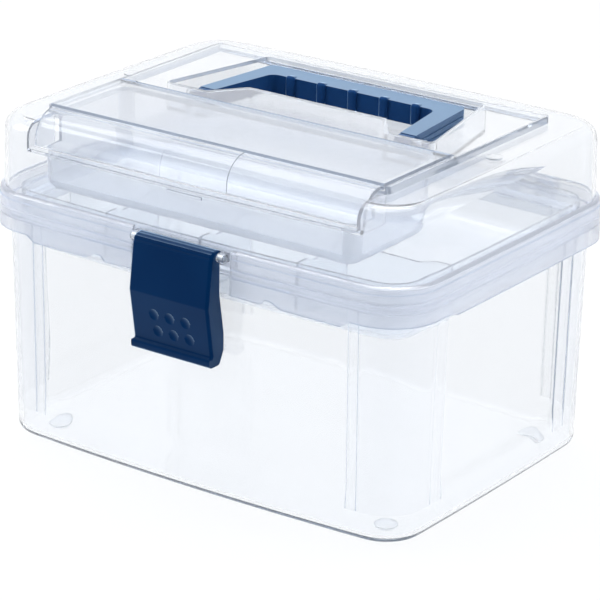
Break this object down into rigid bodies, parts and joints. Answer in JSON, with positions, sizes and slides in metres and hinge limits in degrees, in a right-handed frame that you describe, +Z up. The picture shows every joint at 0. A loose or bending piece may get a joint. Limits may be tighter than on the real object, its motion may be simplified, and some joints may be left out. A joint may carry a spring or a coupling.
{
  "type": "medicine storage bin",
  "caption": "Clear rounded medicine bin with a hinged lid, a flap-covered compartment in the lid, a fold-flat carry handle, a front latch and a lift-out divided tray",
  "frame": {"origin": "on the floor under the middle of the object's bounding box; the object stands on its four foot pads", "axes": "+Z up, -Y towards the front latch, +X to the right when facing the latch from outside"},
  "size_m": [0.272, 0.2266, 0.186],
  "materials": {
    "clear_plastic": "clear glossy polypropylene",
    "frosted_plastic": "natural translucent polypropylene",
    "navy_plastic": "satin moulded navy blue",
    "pin_steel": "drawn wire",
    "foot_pad": "clear soft pads"
  },
  "bodies": {
    "base": {"bin": "clear_plastic", "bin_feet": "foot_pad", "lid_hinge_pins": "pin_steel"},
    "lid_group": {"lid": "clear_plastic", "lid_compartment": "frosted_plastic", "handle_well": "clear_plastic", "latch_pin": "pin_steel", "flap_hinge_pins": "pin_steel"},
    "flap": {"flap_cover": "clear_plastic"},
    "handle": {"carry_handle": "navy_plastic"},
    "latch": {"front_latch": "navy_plastic"},
    "tray": {"lift_out_tray": "frosted_plastic", "long_divider": "frosted_plastic", "short_dividers_set": "frosted_plastic"}
  },
  "joints": [
    {"name": "lid_hinge", "type": "hinge", "parent": "base", "child": "lid_group", "pos_m": [0, 0.1089, 0.13175], "axis": [-1, 0, 0], "range_deg": [0, 105]},
    {"name": "flap_hinge", "type": "hinge", "parent": "lid_group", "child": "flap", "pos_m": [0, -0.018, 0.183], "axis": [-1, 0, 0], "range_deg": [0, 95]},
    {"name": "handle_pivot", "type": "hinge", "parent": "lid_group", "child": "handle", "pos_m": [0, 0.004, 0.1758], "axis": [1, 0, 0], "range_deg": [0, 90]},
    {"name": "latch_hinge", "type": "hinge", "parent": "lid_group", "child": "latch", "pos_m": [0, -0.1043, 0.1374], "axis": [-1, 0, 0], "range_deg": [0, 80]},
    {"name": "tray_lift", "type": "slide", "parent": "base", "child": "tray", "axis": [0, 0, 1], "range_m": [0, 0.003]}
  ]
}
